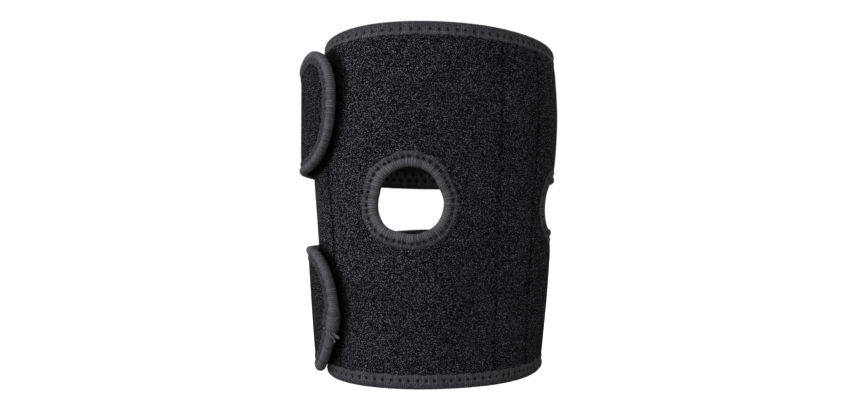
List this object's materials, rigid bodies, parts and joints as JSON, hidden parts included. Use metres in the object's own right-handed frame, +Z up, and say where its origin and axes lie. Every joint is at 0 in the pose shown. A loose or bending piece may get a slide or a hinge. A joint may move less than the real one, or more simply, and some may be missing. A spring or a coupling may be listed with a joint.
{
  "type": "elbow support",
  "caption": "Wrap-around elbow support: a bound foam-sheet sleeve with a round elbow opening and straps that lap round the back and close on its loop face.",
  "frame": {"origin": "centre of the bounding box, on the floor under the bottom rim", "axes": "+Z up along the arm's way through the sleeve, -Y towards the front with the elbow opening, +X to the right seen from the front"},
  "size_m": [0.1472, 0.1438, 0.18],
  "materials": {
    "loop_fabric": "black brushed loop fabric on closed-cell foam, matte with fine pale fibre ends",
    "binding_tape": "dark grey ribbed elastic tape, folded over the edge and sewn",
    "hook_tape": "black moulded nylon hooks"
  },
  "bodies": {
    "root": {"sleeve": "loop_fabric", "elbow_hole_binding": "binding_tape", "bottom_binding": "binding_tape", "edge_binding": "binding_tape", "end_binding": "binding_tape", "upper_hook_pad": "hook_tape", "lower_hook_pad": "hook_tape"}
  },
  "joints": []
}
